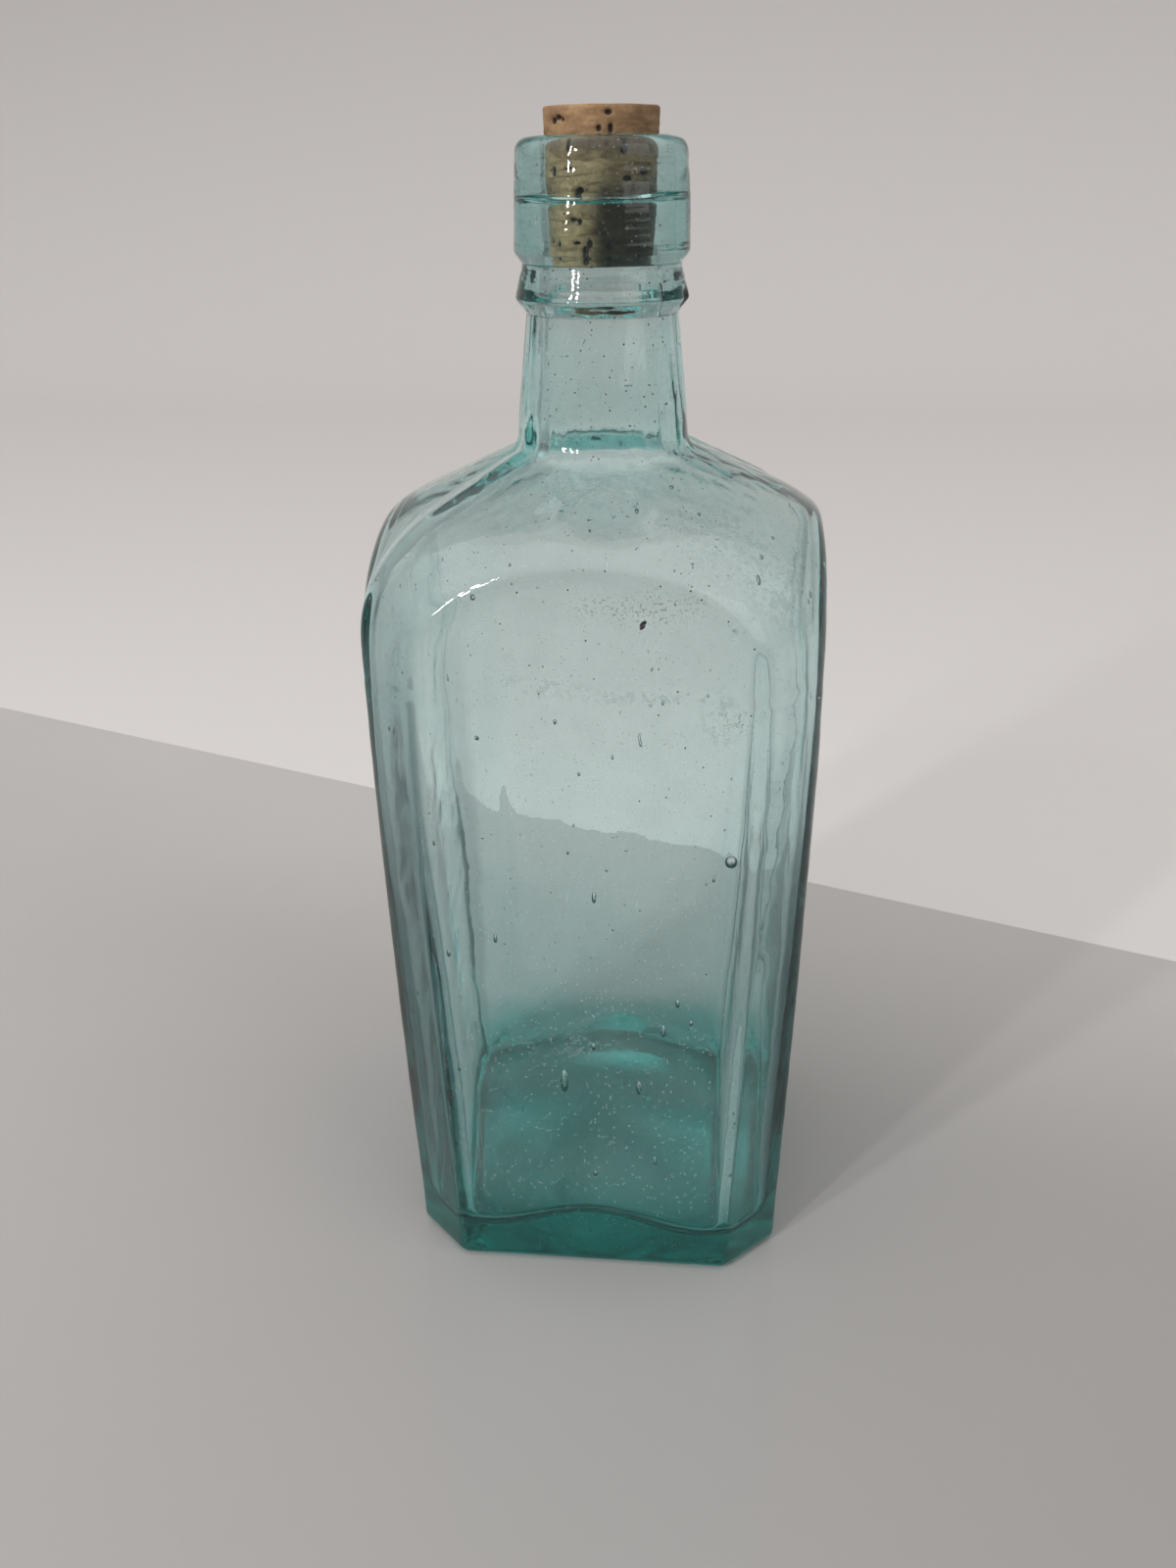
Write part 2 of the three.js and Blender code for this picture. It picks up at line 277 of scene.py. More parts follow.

# Colours of the glass: its absorption, tints of its surface with painted shade on the heel, side edges,
# front-left cut corner, dome and lip, and what lies on it
GLASS_IOR = 1.51
GLASS_COLOUR = (0.0, 0.79, 0.77, 1)
GLASS_DENSITY = 44
PLAIN_TINT = (1, 1, 1, 1)
BASE_TINT = (0.20, 1.0, 0.97, 1)
HEEL_PAINTED_SHADE = (0.15, 0.50, 0.47, 1)
RIM_PAINTED_SHADE = (0.03, 0.10, 0.11, 1)
CUT_PAINTED_SHADE = (0.28, 0.36, 0.37, 1)
DOME_PAINTED_SHADE = (0.62, 0.63, 0.62, 1)
DOME_SHARE = 0.12
LIP_PAINTED_SHADE = (0.62, 0.48, 0.47, 1)
LIP_SHARE = 0.5
LOW_HAZE = (0.45, 0.82, 0.78, 1)
HAZE = (0.70, 0.72, 0.70, 1)
RUST = (0.34, 0.21, 0.12, 1)
STONE_COLOUR = (0.03, 0.026, 0.022, 1)
DEPOSIT_COVER = 0.45
DEPOSIT_ROUGHNESS = 0.2
SCUFF_ROUGHNESS = 0.2
RUST_COVER = 0.5
GRIT_SHARE = 0.4
SPECK_CORE = 0.6

# Heights between which the tints and the painted shade of the glass change
BASE_TINT_SPAN = (0.004, 0.024)
RIM_SPAN = (0.155, 0.065)
CUT_SPAN = (0.165, 0.12)
DOME_SPAN = (0.115, 0.14)
LIP_SPAN = (LIP_FOOT - 0.006, LIP_FOOT + 0.002)
HAZE_SPAN = (0.014, 0.05)
DUST_SPAN = (0.13, NECK_ROOT)
SCUFF_SPAN = (0.006, 0.004)
TOOLED_SPAN = (LIP_FOOT + 0.006, LIP_FOOT + 0.010)

# Colours of the cork: the bark in the open and inside the lip, its cells, painted shade on its right side and
# towards its foot, and its pits
BARK_DARK = (0.25, 0.14, 0.066, 1)
BARK_LIGHT = (0.42, 0.255, 0.13, 1)
COVERED_DARK = (0.48, 0.29, 0.145, 1)
COVERED_LIGHT = (1.0, 0.64, 0.36, 1)
CELL_COLOUR = (0.13, 0.07, 0.035, 1)
CORK_PAINTED_SHADE = (0.030, 0.021, 0.010, 1)
PIT_COLOUR = (0.018, 0.010, 0.006, 1)
COVERED_SHARE = 0.9
CELL_SHARE = 0.3
CORK_ROUGHNESS = 0.82
COVERED_SPAN = (LIP_TOP - 0.001, LIP_TOP - 0.004)
CORK_SHADE_SPAN = (LIP_TOP - 0.003, CORK_FOOT + 0.008)
CORK_SHADE_SIDE_SPAN = (-0.003, 0.005)

# Stage: a floor that bends up far behind, with painted shade towards the front right and painted light by a
# brighter card on it behind the bottle, which stands in for a lamp-lit back wall
STAGE_HALF = 3
BACKDROP = 1.6
BACKDROP_BEND = 0.5
BACKDROP_STEPS = 24
FLOOR_LEVEL = -0.00025
CARD_TURN = math.radians(21.3)
CARD_DISTANCE = 0.149
CARD_EDGE = 0.0004
CARD_WALL_TONE_AND_LIGHT = (0.72, 0.695, 0.685, 1)
CARD_ROUGHNESS = 0.9
GROUND_PAINTED_SHADE = (0.27, 0.26, 0.255, 1)
GROUND_PAINTED_LIT = (0.53, 0.51, 0.505, 1)
GROUND_PAINTED_GLOW = (0.60, 0.58, 0.57, 1)
GROUND_MOTTLE = (0.36, 0.35, 0.345, 1)
GROUND_ROUGHNESS = 0.16
GROUND_SPECULAR = 0.4
GROUND_SLOPE_LEFT = 0.5
GROUND_SLOPE_BACK = 0.7
GROUND_REACH = 0.37
GROUND_MOTTLE_SHARE = 0.12
CARD_GLOW_FROM = 0.02
CARD_GLOW_SHARE = 0.5

# Lights: six small lamps in a block, a strip for the lip, a wide fill and the sky
LAMPS = 6
LAMP_PLACE = Vector((-0.46, -0.63, 0.50))
LAMP_AIM = (0, 0, 0.12)
LAMP_GAP = 0.11
LAMP_SIZE = 0.035
LAMP_WATTS = 0.55
STRIP_PLACE = (-0.55, -0.66, 0.34)
STRIP_AIM = (0, 0, 0.2)
STRIP_WIDTH = 0.035
STRIP_HEIGHT = 0.08
STRIP_WATTS = 0.5
FILL_PLACE = (1.0, -0.8, 0.7)
FILL_AIM = (0, 0, 0.1)
FILL_SIZE = 0.9
FILL_WATTS = 2.5
SKY_COLOUR = (1.0, 0.985, 0.965, 1)
SKY_LOW = 0.20
SKY_HIGH = 1.05
SKY_HIGH_FROM = 0.85

# Camera: the photograph's view, with the focal length and the frame's height in pixels
CAMERA_PLACE = (0.02233, -0.26097, 0.2162)
CAMERA_DOWN = math.radians(24.51)
CAMERA_TURN = math.radians(5.71)
CAMERA_ROLL = math.radians(-0.69)
FOCAL_PIXELS = 1370
FRAME_PIXELS = 1600
SENSOR_MILLIMETRES = 36
CLIP_START = 0.01
GLASS_BOUNCES = 32
GLOSSY_BOUNCES = 8


# Paths of radius and height

def arc(centre, radius, start, end, steps):
    turn = np.radians(np.linspace(start, end, steps + 1))
    return np.column_stack((centre[0] + radius * np.cos(turn), centre[1] + radius * np.sin(turn)))


def line(start, end, steps):
    return np.linspace(start, end, steps + 1)


def chain(*parts):
    """One path from parts that meet, with each meeting point kept once"""
    return np.vstack([parts[0]] + [part[1:] for part in parts[1:]])


def rounded(corners, step, bend_steps=6):
    """A path through corners (radius, height, rounding), cut into steps of about one length"""
    points = [np.array(corner[:2]) for corner in corners]
    path = [points[0][None]]
    for index in range(1, len(points)):
        start, corner = path[-1][-1], points[index]
        if index == len(points) - 1:
            path.append(line(start, corner, max(1, round(np.linalg.norm(corner - start) / step)))[1:])
            break
        back = points[index - 1] - corner
        ahead = points[index + 1] - corner
        cosine = back @ ahead / np.linalg.norm(back) / np.linalg.norm(ahead)
        reach = corners[index][2] / math.tan(math.acos(cosine) / 2)
        bend_in = corner + back * reach / np.linalg.norm(back)
        bend_out = corner + ahead * reach / np.linalg.norm(ahead)
        path.append(line(start, bend_in, max(1, round(np.linalg.norm(bend_in - start) / step)))[1:])
        share = np.linspace(0, 1, bend_steps + 1)[1:, None]
        path.append((1 - share) ** 2 * bend_in + 2 * share * (1 - share) * corner + share ** 2 * bend_out)
    return np.vstack(path)


# Sections of the bottle

def mix(low, high, share):
    return low + (high - low) * share


def smoothstep(value, low, high):
    share = np.clip((value - low) / (high - low), 0, 1)
    return share * share * (3 - 2 * share)


def band(value, low, high, fade):
    """1 between two limits, with soft ends"""
    return smoothstep(value, low - fade, low) * (1 - smoothstep(value, high, high + fade))


def up_the_side(height):
    """0 near the foot and 1 near the shoulder: how far the mould's edges have gone soft"""
    return smoothstep(np.asarray(height), SOFT_FROM, SOFT_TO)


def edge_sharpness(rounding):
    """How sharply the walls of a section meet, so that a cut corner's edges have the asked rounding"""
    reach = math.hypot(BODY_WIDTH / 2, BODY_WIDTH / 2 - CORNER_CUT)
    return math.log(2) * reach / (rounding * (1 / math.cos(math.pi / 8) - 1))


def outer_sharpness(height):
    return edge_sharpness(mix(EDGE_ROUNDING_FOOT, EDGE_ROUNDING_TOP, up_the_side(height)))


def inner_sharpness(height):
    return edge_sharpness(mix(INNER_EDGE_FOOT, INNER_EDGE_TOP, up_the_side(height)))


def wall(height):
    """Thickness of the side walls, which the blowing left thinner higher up"""
    return mix(WALL_LOW, WALL_HIGH, up_the_side(height))


def inner_cut(height):
    """The corner cut of the hollow that leaves the asked wall behind the outer cut corner"""
    return CORNER_CUT + (math.sqrt(2) * CORNER_WALL_SHARE - 2) * wall(height)


def side_half_width(height):
    below = np.maximum(0, 1 - np.asarray(height) / WIDEST_HEIGHT)
    return (BODY_WIDTH - (BODY_WIDTH - FOOT_WIDTH) * below ** SWELL_POWER) / 2


def bore_radius(height):
    return BORE_RADIUS + BORE_TAPER * (height - NECK_END)


def pocket_dip(height):
    return POCKET_DEPTH * (1 - smoothstep(height, FLOOR_HEIGHT, FLOOR_HEIGHT + POCKET_FADE_HEIGHT))


def section_rows(half, cut, round_wall, sharpness, height, dip=0.0, inside=0.0):
    """Rows of a loft: half width, corner cut, round wall, sharpness, height, corner dip, side of the wall"""
    return np.column_stack(np.broadcast_arrays(half, cut, round_wall, sharpness, height, dip, inside))


def section_angles():
    """Directions round the axis, closer together where the faces meet the cut corners"""
    fine = np.linspace(0, math.pi / 2, FINE_ANGLES)
    density = np.ones_like(fine)
    for edge in (EDGE_ANGLE, math.pi / 2 - EDGE_ANGLE):
        density += EDGE_DENSITY * np.exp(-((fine - edge) / EDGE_SPREAD) ** 2)
    total = np.concatenate(([0], np.cumsum((density[1:] + density[:-1]) / 2)))
    quarter = np.interp(np.arange(QUARTER_STEPS) / QUARTER_STEPS, total / total[-1], fine)
    return np.concatenate([quarter + turn * math.pi / 2 for turn in range(4)])


def loft_grid(rows, angles):
    """Points of a loft, one row of points for each section"""
    half, cut, round_wall, sharpness, height, dip, _ = rows.T[:, :, None]
    across, along = np.abs(np.cos(angles)), np.abs(np.sin(angles))
    walls = np.stack(np.broadcast_arrays(
        across / half, along / half, (across + along) / (2 * half - cut), 1 / round_wall))
    nearest = walls.max(axis=0)
    radius = 1 / (nearest * ((walls / nearest) ** sharpness).sum(axis=0) ** (1 / sharpness))
    level = height - dip * np.sin(2 * angles) ** 2
    return np.stack((radius * np.cos(angles), radius * np.sin(angles), level), axis=-1)


def grid_normals(grid):
    """Directions out of the material of a loft whose rows run up its outside"""
    round_axis = np.roll(grid, -1, axis=1) - np.roll(grid, 1, axis=1)
    normals = np.cross(round_axis, np.gradient(grid, axis=0))
    return normals / np.linalg.norm(normals, axis=-1, keepdims=True)


def shoulder_path(inset, neck_inset):
    """Dome of the shoulder, its slope and the turn into the neck, set in from the outer surface"""
    turn = 90 - SHOULDER_SLOPE
    dome = arc((DOME_CENTRE, SHOULDER_HEIGHT), SHOULDER_RADIUS - inset, 0, turn, DOME_STEPS)
    fillet_centre = (NECK_ROOT_RADIUS + NECK_FILLET, NECK_ROOT)
    fillet = arc(fillet_centre, NECK_FILLET + neck_inset, 180 + turn, 180, FILLET_STEPS)
    return chain(dome, line(dome[-1], fillet[0], SLOPE_STEPS), fillet)


def lip_path():
    """Neck and lip from the root of the neck over the mouth and down the bore to the same height"""
    return rounded((
        (NECK_ROOT_RADIUS, NECK_ROOT, 0),
        (NECK_TOP_RADIUS, LIP_FOOT, LIP_FOOT_ROUNDING),
        (NECK_TOP_RADIUS + LIP_PROUD, LIP_FOOT + LIP_BEVEL_HEIGHT, LIP_BEVEL_ROUNDING),
        (NECK_TOP_RADIUS + LIP_GROOVE_PROUD, LIP_FOOT + LIP_GROOVE_HEIGHT, LIP_GROOVE_ROUNDING),
        (NECK_TOP_RADIUS + LIP_GROOVE_PROUD, LIP_FOOT + LIP_GROOVE_TOP, LIP_GROOVE_ROUNDING),
        (NECK_TOP_RADIUS + LIP_PROUD, LIP_FOOT + LIP_BAND_FOOT, LIP_BAND_ROUNDING),
        (NECK_TOP_RADIUS + LIP_TOP_PROUD, LIP_TOP, LIP_TOP_ROUNDING),
        (bore_radius(LIP_TOP), LIP_TOP, LIP_MOUTH_ROUNDING),
        (bore_radius(NECK_END), NECK_END, BORE_WELD_ROUNDING),
        (bore_radius(CORK_FOOT), CORK_FOOT, BORE_FOOT_ROUNDING),
        (NECK_ROOT_RADIUS - NECK_WALL, NECK_ROOT, 0),
    ), LIP_STEP)


def outer_rows():
    """Rows of the outside from the push-up to the mouth, and the path of the bore below it"""
    dome_radius = (PUSH_UP_RADIUS ** 2 + PUSH_UP_HEIGHT ** 2) / (2 * PUSH_UP_HEIGHT)
    dome_edge = math.degrees(math.acos(PUSH_UP_RADIUS / dome_radius))
    push_up = arc((0, PUSH_UP_HEIGHT - dome_radius), dome_radius, 90, dome_edge, PUSH_UP_STEPS)[1:]
    heel_centre = side_half_width(HEEL_RADIUS) - HEEL_RADIUS
    heel = arc((heel_centre, HEEL_RADIUS), HEEL_RADIUS, -90, 0, HEEL_STEPS)
    sides = np.linspace(HEEL_RADIUS, SHOULDER_HEIGHT, SIDE_ROWS)[1:-1]
    lip = lip_path()
    mouth = int(np.argmax(lip[:, 1] > LIP_TOP - LEVEL_TOLERANCE))
    outside = chain(shoulder_path(0, 0), lip[:mouth + 1])
    paths = (
        (side_half_width(push_up[:, 1]), push_up[:, 0], push_up[:, 1]),
        (heel[:, 0], np.inf, heel[:, 1]),
        (side_half_width(sides), np.inf, sides),
        (side_half_width(outside[:, 1]), outside[:, 0], outside[:, 1]),
    )
    rows = [section_rows(half, CORNER_CUT, round_wall, outer_sharpness(height), height)
            for half, round_wall, height in paths]
    return np.vstack(rows), lip[mouth + 1:]


def inner_rows(bore):
    """Rows of the hollow from the mouth down to the middle of its floor"""
    top = chain(bore, shoulder_path(WALL_HIGH, NECK_WALL)[::-1])
    floor_radius = side_half_width(WALL_FOOT) - wall(WALL_FOOT) - INNER_HEEL_RADIUS
    sides = np.linspace(SHOULDER_HEIGHT, WALL_FOOT, INNER_SIDE_ROWS)[1:-1]
    crown = FLOOR_HEIGHT + FLOOR_CROWN
    share = np.linspace(0, 1, FLOOR_STEPS + 1)[1:, None]
    middle = 2 * share * (1 - share) * (floor_radius / 2, crown) + share ** 2 * (floor_radius, FLOOR_HEIGHT)
    middle += (1 - share) ** 2 * (0, crown)
    heel = arc((floor_radius, WALL_FOOT), INNER_HEEL_RADIUS, -90, 0, INNER_HEEL_STEPS)
    floor = chain(middle, heel)[::-1]
    spread = np.minimum(1, floor[:, 0] / floor_radius)
    floor_round = floor[:, 0] * (1 + (math.sqrt(2) - 1) * spread ** 2)
    floor_dip = pocket_dip(floor[:, 1]) * spread ** 2
    paths = (
        (side_half_width(top[:, 1]) - WALL_HIGH, 1, top[:, 0], top[:, 1], pocket_dip(top[:, 1])),
        (side_half_width(sides) - wall(sides), 1, np.inf, sides, pocket_dip(sides)),
        (floor[:, 0], spread, floor_round, floor[:, 1], floor_dip),
    )
    rows = [section_rows(half, inner_cut(height) * share, round_wall, inner_sharpness(height), height, dip, 1)
            for half, share, round_wall, height, dip in paths]
    return np.vstack(rows)


# Hand-made surface

def ripples(points, lumps, seed):
    """Smooth noise, about -1 to 1, in lumps of a size along x, y and z"""
    scaled = points / np.array(lumps) + seed * RIPPLE_GAP
    flat = [noise.noise(place) for place in scaled.reshape(-1, 3).tolist()]
    return np.array(flat).reshape(points.shape[:-1])


def seam_rise(height, radius, angles):
    """Height of the mould seam, which runs over the shoulder at two opposite corners up to the neck"""
    rise = smoothstep(height, SEAM_FROM, SEAM_FULL)
    rise = rise * (1 - smoothstep(height, NECK_ROOT, NECK_ROOT + SEAM_FADE))
    width = SEAM_WIDTH * (SEAM_LEAST_WIDTH_SHARE + rise)
    total = np.zeros(height.shape)
    for turn in (SEAM_ANGLE, SEAM_ANGLE - math.pi):
        aside = radius * np.sin(angles - turn)
        facing = np.cos(angles - turn) > 0
        total += facing * SEAM_HEIGHT * rise * np.exp(-(aside / width) ** 2)
    return total


def outer_shift(grid, angles):
    """How far the outer skin is off its plain shape, mostly inward"""
    height = grid[..., 2]
    radius = np.hypot(grid[..., 0], grid[..., 1])
    on_body = smoothstep(height, SKIN_FROM, SKIN_FULL)
    on_body = on_body * (1 - smoothstep(height, NECK_ROOT, NECK_ROOT + SKIN_NECK_FADE))
    skin = SKIN_DEPTH * (ripples(grid, SKIN_LUMPS, 1) - 1)
    skin += WHITTLE_DEPTH * (ripples(grid, WHITTLE_LUMPS, 2) - 1)
    on_neck = band(height, NECK_ROOT - DRAW_BELOW_ROOT, LIP_FOOT - DRAW_BELOW_LIP, DRAW_FADE)
    drawn = ripples(grid, DRAW_LUMPS, 3) + DRAW_FINE_SHARE * ripples(grid, DRAW_FINE_LUMPS, 4)
    on_lip = smoothstep(height, LIP_FOOT, LIP_FOOT + LIP_FADE)
    on_lip = on_lip * smoothstep(radius, LIP_SMOOTH_RADIUS, LIP_ROUGH_RADIUS)
    tooled = ripples(grid, LIP_LUMPS, 5) + LIP_FINE_SHARE * ripples(grid, LIP_FINE_LUMPS, 6)
    drift = height + TOOL_DRIFT * ripples(grid, TOOL_LUMPS, 7)
    tool_marks = np.sin(2 * math.pi * drift / TOOL_PITCH)
    off = ((angles - CHIP_ANGLE + math.pi) % (2 * math.pi) - math.pi) * radius
    chip = np.exp(-((off / CHIP_SIZE) ** 2 + ((height - CHIP_HEIGHT) / CHIP_SIZE) ** 2) ** 2)
    shift = on_body * skin + on_neck * DRAW_DEPTH * drawn + seam_rise(height, radius, angles)
    shift += on_lip * (LIP_DEPTH * (tooled - LIP_INWARD) + TOOL_DEPTH * tool_marks - CHIP_DEPTH * chip)
    return shift


def inner_shift(grid):
    """How far the inner skin is off its plain shape, towards the hollow"""
    height = grid[..., 2]
    on_body = 1 - smoothstep(height, NECK_ROOT - INNER_NECK_FADE, NECK_ROOT)
    waves = ripples(grid, INNER_LUMPS, 8) + INNER_FINE_SHARE * ripples(grid, INNER_FINE_LUMPS, 13)
    on_neck = band(height, NECK_ROOT - BORE_DRAW_MARGIN, CORK_FOOT - BORE_DRAW_MARGIN, DRAW_FADE)
    drawn = ripples(grid, BORE_DRAW_LUMPS, 10)
    weld = NECK_END + WELD_DRIFT * ripples(grid * (1, 1, 0), WELD_LUMPS, 11)
    shift = on_body * INNER_DEPTH * waves + on_neck * BORE_DRAW_DEPTH * drawn
    shift -= WELD_DEPTH * np.exp(-((height - weld) / WELD_WIDTH) ** 2)
    return shift


# Meshes

def grid_faces(rows, columns):
    """Faces of a grid of points whose rows close on themselves"""
    index = np.arange(rows * columns).reshape(rows, columns)
    beside = np.roll(index, -1, axis=1)
    quads = np.stack((index[:-1], beside[:-1], beside[1:], index[1:]), axis=-1)
    return quads.reshape(-1, 4).tolist()


def fan_faces(pole, ring, flip=False):
    """Triangles from a pole to a ring of points"""
    faces = np.column_stack((np.full(len(ring), pole), np.roll(ring, -1), ring))
    return (faces[:, ::-1] if flip else faces).tolist()


def closed_grid(grid, first_pole, last_pole):
    """Points and faces of a grid closed by a pole at each end"""
    rows, columns = grid.shape[:2]
    points = np.vstack((grid.reshape(-1, 3), first_pole, last_pole))
    last_row = np.arange(columns) + (rows - 1) * columns
    faces = grid_faces(rows, columns)
    faces += fan_faces(rows * columns, np.arange(columns))
    faces += fan_faces(rows * columns + 1, last_row, flip=True)
    return points, faces


def new_object(name, points, faces, material):
    mesh = bpy.data.meshes.new(name)
    mesh.from_pydata(points.tolist(), [], faces)
    mesh.shade_smooth()
    mesh.materials.append(material)
    made = bpy.data.objects.new(name, mesh)
    bpy.context.scene.collection.objects.link(made)
    return made


def set_attribute(made, name, values):
    attribute = made.data.attributes.new(name, "FLOAT", "POINT")
    attribute.data.foreach_set("value", np.asarray(values, np.float32))


def bubble(centre, size, lean):
    """A gas seed in the glass: an egg of a width, a depth and a length, with its faces towards the gas"""
    rise = np.linspace(-math.pi / 2, math.pi / 2, BUBBLE_RINGS + 2)[1:-1, None]
    turn = np.linspace(0, 2 * math.pi, BUBBLE_ROUND, endpoint=False)
    shape = np.stack(np.broadcast_arrays(np.cos(rise) * np.cos(turn), np.cos(rise) * np.sin(turn),
                                         np.sin(rise)), axis=-1)
    place = np.array(Matrix.Rotation(lean, 3, "Z"))
    half = np.array(size) / 2
    points, faces = closed_grid(shape * half, (0, 0, -half[2]), (0, 0, half[2]))
    return points @ place.T + centre, [face[::-1] for face in faces]


def front_seeds():
    made = []
    for across, height, width, length in FRONT_SEEDS:
        depth = -side_half_width(height) + 0.5 * wall(height)
        made.append(bubble((across, depth, height), (width, min(width, FRONT_SEED_THICKEST), length), 0))
    return made


def wall_seeds(grid, normals, rng):
    """Gas seeds strewn through the walls behind a grid of the outside"""
    made = []
    heights = grid[:, 0, 2]
    rows = np.flatnonzero((heights > WALL_SEED_FROM) & (heights < NECK_ROOT - WALL_SEED_BELOW_NECK))
    for row, column in zip(rng.choice(rows, WALL_SEEDS), rng.integers(0, grid.shape[1], WALL_SEEDS)):
        place, normal = grid[row, column], normals[row, column]
        width = WALL_SEED_WIDTH + WALL_SEED_GROWTH * rng.random() ** 3
        length = width * (1 + WALL_SEED_STRETCH * rng.random() ** 2)
        centre = place - normal * wall(place[2]) * rng.uniform(*WALL_SEED_DEPTHS)
        lean = math.atan2(normal[1], normal[0]) + math.pi / 2
        made.append(bubble(centre, (width, min(width, WALL_SEED_THICKEST), length), lean))
    return made


def base_seeds(rng):
    made = []
    for _ in range(BASE_SEEDS):
        turn = rng.uniform(0, 2 * math.pi)
        radius = BASE_SEED_REACH * math.sqrt(rng.random())
        width = rng.uniform(*BASE_SEED_WIDTHS)
        place = (radius * math.cos(turn), radius * math.sin(turn), rng.uniform(*BASE_SEED_HEIGHTS))
        made.append(bubble(place, (width, width, BASE_SEED_FLATNESS * width), 0))
    return made


def patches(points, places):
    """Soft patches about places: x, y, height, and how far they spread sideways and up"""
    total = np.zeros(len(points))
    for across, depth, height, aside, up in places:
        gap = (points - (across, depth, height)) / (aside, aside, up)
        total += np.exp(-(gap ** 2).sum(axis=1))
    return np.clip(total, 0, 1)


def mark_glass(glass, points, inside):
    """What the glass material reads at each point: the side of the wall, the heel, edges and front-left cut
    corner where shade is painted, and soiled patches
    """
    outside = 1 - inside
    left, front = points[:, 0] < 0, points[:, 1] < 0
    aside = np.arctan2(np.abs(points[:, 1]), np.abs(points[:, 0]))
    # Painted shade: a dark band along the edges of the side faces, weaker on the right and at the back
    rim_shade = band(aside, EDGE_ANGLE - RIM_REACH, EDGE_ANGLE + RIM_REACH, RIM_FADE)
    rim_shade = rim_shade * np.where(left, 1, RIM_RIGHT_SHARE) * np.where(front, 1, RIM_BACK_SHARE)
    # Painted shade on the front-left cut corner only
    cut = band(aside, EDGE_ANGLE + RIM_FADE, math.pi / 2 - EDGE_ANGLE, RIM_FADE) * left * front
    set_attribute(glass, "inside", inside)
    set_attribute(glass, "heel", outside * (np.hypot(points[:, 0], points[:, 1]) > HEEL_REACH))
    set_attribute(glass, "rim_shade", outside * rim_shade)
    set_attribute(glass, "cut", outside * cut)
    set_attribute(glass, "deposit", inside * patches(points, DEPOSITS))
    set_attribute(glass, "stain", inside * patches(points, STAINS))


def make_glass(material):
    """The bottle and its lip as one closed wall, with gas seeds as hollows in it"""
    rng = np.random.default_rng(SEED)
    angles = section_angles()
    outside, bore = outer_rows()
    rows = np.vstack((outside, inner_rows(bore)))
    grid = loft_grid(rows, angles)
    normals = grid_normals(grid)
    count = len(outside)
    shift = np.zeros(grid.shape[:2])
    shift[:count] = outer_shift(grid[:count], angles)
    shift[count:] = inner_shift(grid[count:])
    grid = grid + normals * shift[..., None]
    inner = grid[count:]
    low = 1 - smoothstep(inner[..., 2], TILT_FADE_FROM, TILT_FADE_TO)
    inner[..., 2] += FLOOR_TILT * inner[..., 1] * low
    grid[..., :2] = np.clip(grid[..., :2], -BODY_WIDTH / 2, BODY_WIDTH / 2)
    grid[..., 2] = np.clip(grid[..., 2], 0, LIP_TOP)
    points, faces = closed_grid(grid, (0, 0, PUSH_UP_HEIGHT), (0, 0, grid[-1, :, 2].mean()))
    inside = np.concatenate((np.repeat(rows[:, -1], len(angles)), (0, 1)))
    parts, total = [points], len(points)
    for seed_points, seed_faces in front_seeds() + wall_seeds(grid[:count], normals, rng) + base_seeds(rng):
        parts.append(seed_points)
        faces += [[corner + total for corner in face] for face in seed_faces]
        total += len(seed_points)
    points = np.vstack(parts)
    inside = np.concatenate((inside, np.zeros(total - len(inside))))
    glass = new_object("bottle_glass", points, faces, material)
    mark_glass(glass, points, inside)
    return glass


def cork_pits(grid, angles, rng):
    """How far each point of the cork lies in a pit, from 0 to 1, and how deep the pits are there"""
    pits = np.zeros(grid.shape[:2])
    depth = np.zeros(grid.shape[:2])
    for index in range(SIDE_PITS + TOP_PITS):
        width, height, sunk = rng.uniform(SMALLEST_PIT, LARGEST_PIT)
        turn = rng.uniform(0, 2 * math.pi)
        if index < SIDE_PITS:
            level = rng.uniform(CORK_FOOT + PIT_MARGIN_FOOT, CORK_TOP - PIT_MARGIN_TOP)
            aside = ((angles - turn + math.pi) % (2 * math.pi) - math.pi) * CORK_TOP_RADIUS
            gap = (aside / width) ** 2 + ((grid[..., 2] - level) / height) ** 2
        else:
            reach = TOP_PIT_REACH * math.sqrt(rng.random())
            place = (reach * math.cos(turn), reach * math.sin(turn), CORK_TOP)
            size = np.array((width, TOP_PIT_NARROWNESS * width, TOP_PIT_HEIGHT))
            gap = ((grid - place) ** 2 / size ** 2).sum(axis=-1)
        pit = np.exp(-gap ** PIT_EDGE_POWER)
        pits = np.maximum(pits, pit)
        depth = np.maximum(depth, sunk * pit)
    return pits, depth


